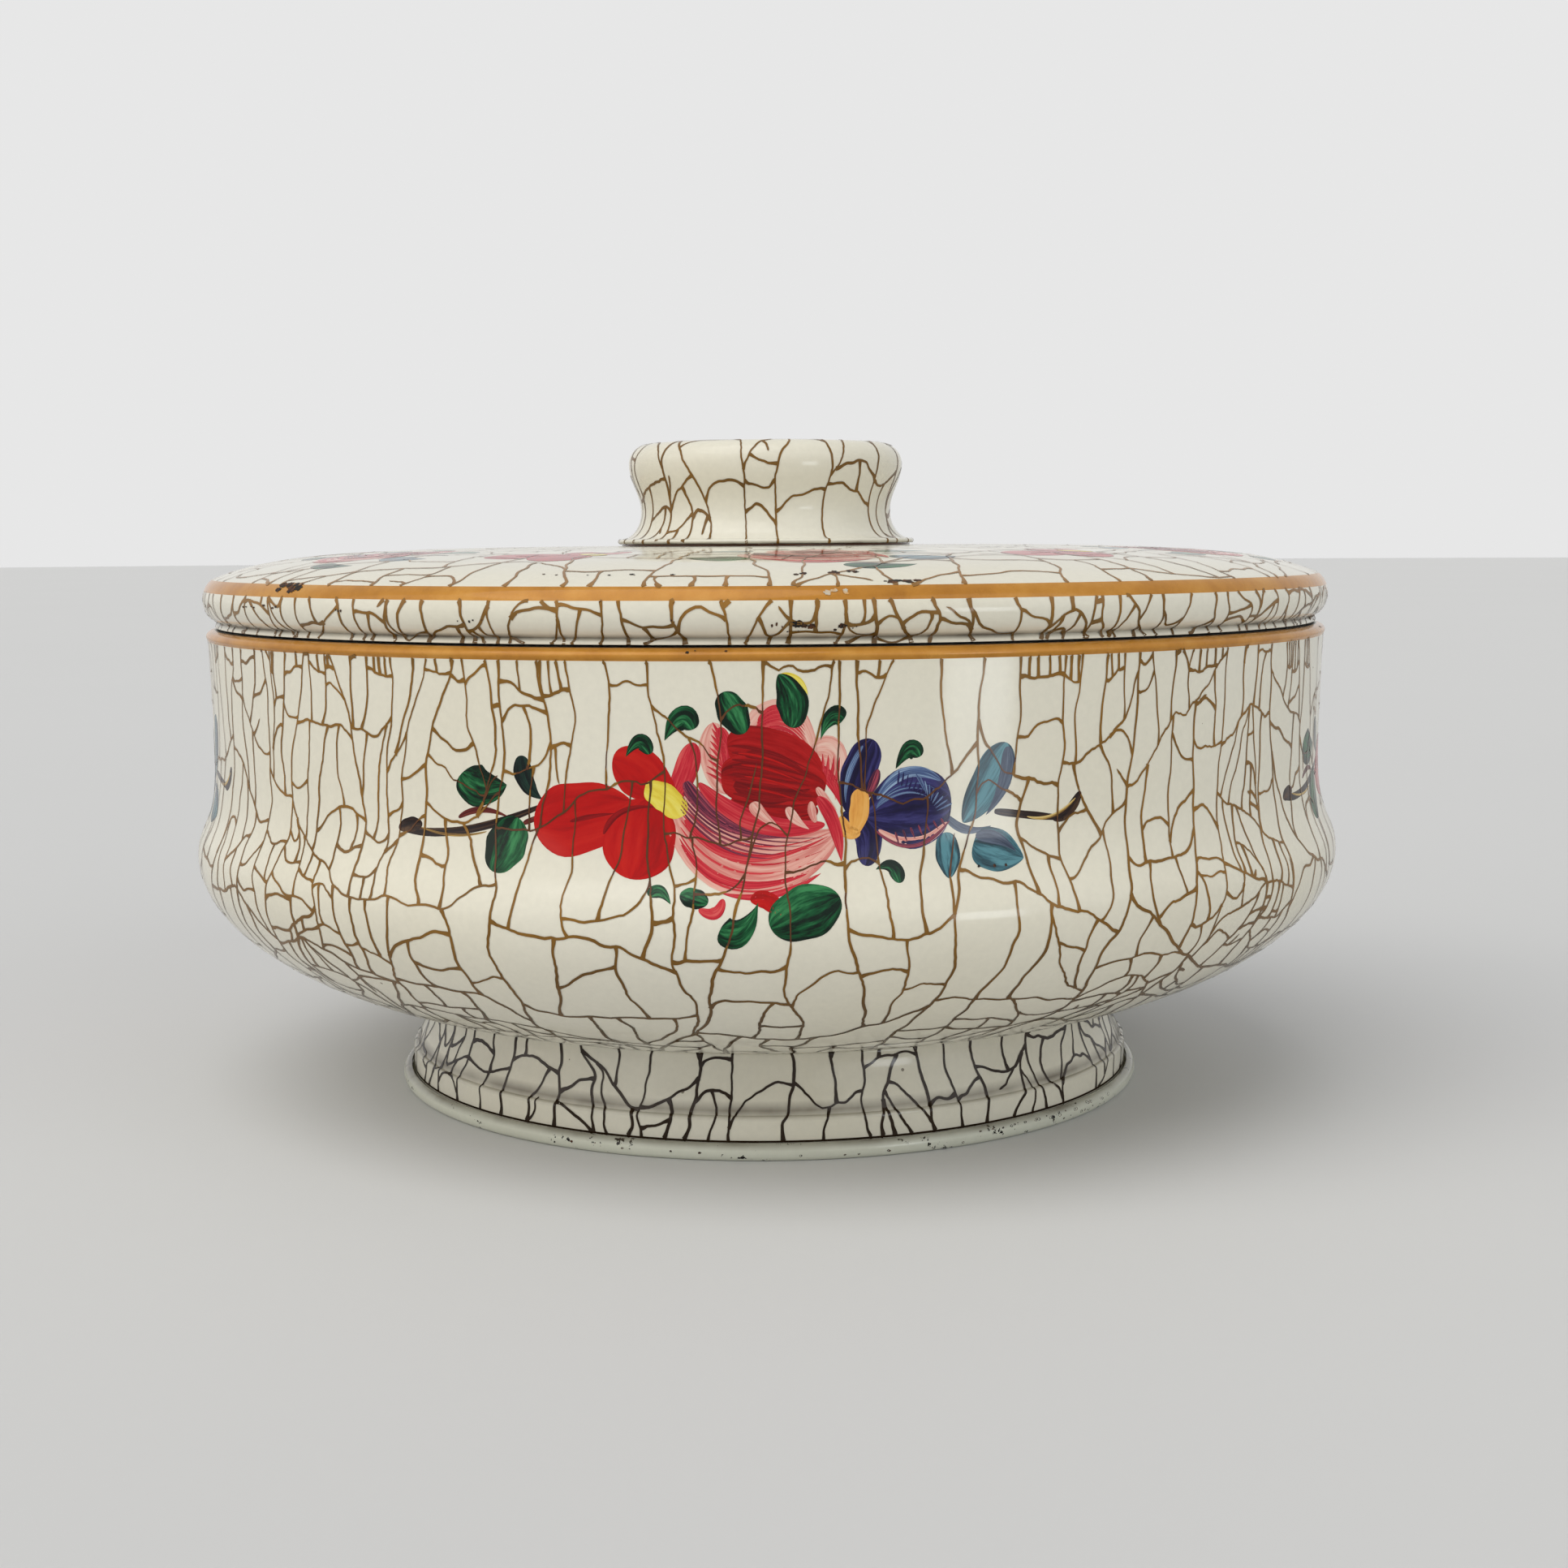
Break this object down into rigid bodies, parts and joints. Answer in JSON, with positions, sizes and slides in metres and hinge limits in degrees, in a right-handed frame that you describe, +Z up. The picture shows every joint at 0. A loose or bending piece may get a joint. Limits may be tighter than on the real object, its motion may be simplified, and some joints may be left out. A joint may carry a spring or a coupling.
{
  "type": "biscuit tin",
  "caption": "Low round biscuit tin of printed tinplate with a bulged bowl on a rolled-edge foot ring, a lift-off domed lid with a half-round skirt, and a hollow spool knob.",
  "frame": {"origin": "on the table, at the middle of the foot ring", "axes": "+Z up along the axis of the bowl, lid and knob; the tin is the same all round, apart from its print"},
  "size_m": [0.22, 0.22, 0.1236],
  "materials": {
    "bowl_lacquer": "glossy cream lacquer with fine brown crackle and a gold shoulder band",
    "foot_lacquer": "glossy cream lacquer with fine brown crackle, worn on the rolled edge",
    "lid_lacquer": "glossy cream lacquer with fine brown crackle and a gold edge band",
    "knob_lacquer": "glossy cream lacquer with fine brown crackle",
    "plain_tinplate": "plain tinplate",
    "rivet_steel": "plain steel rivet"
  },
  "bodies": {
    "tin": {"bowl_shell": "bowl_lacquer", "foot_ring": "foot_lacquer"},
    "lid": {"lid_shell": "lid_lacquer", "knob_shell": "knob_lacquer", "knob_base_disc": "plain_tinplate", "knob_washer": "plain_tinplate", "knob_rivet": "rivet_steel"}
  },
  "joints": [
    {"name": "lid_lift", "type": "slide", "parent": "tin", "child": "lid", "axis": [0, 0, 1], "range_m": [0, 0.06]}
  ]
}
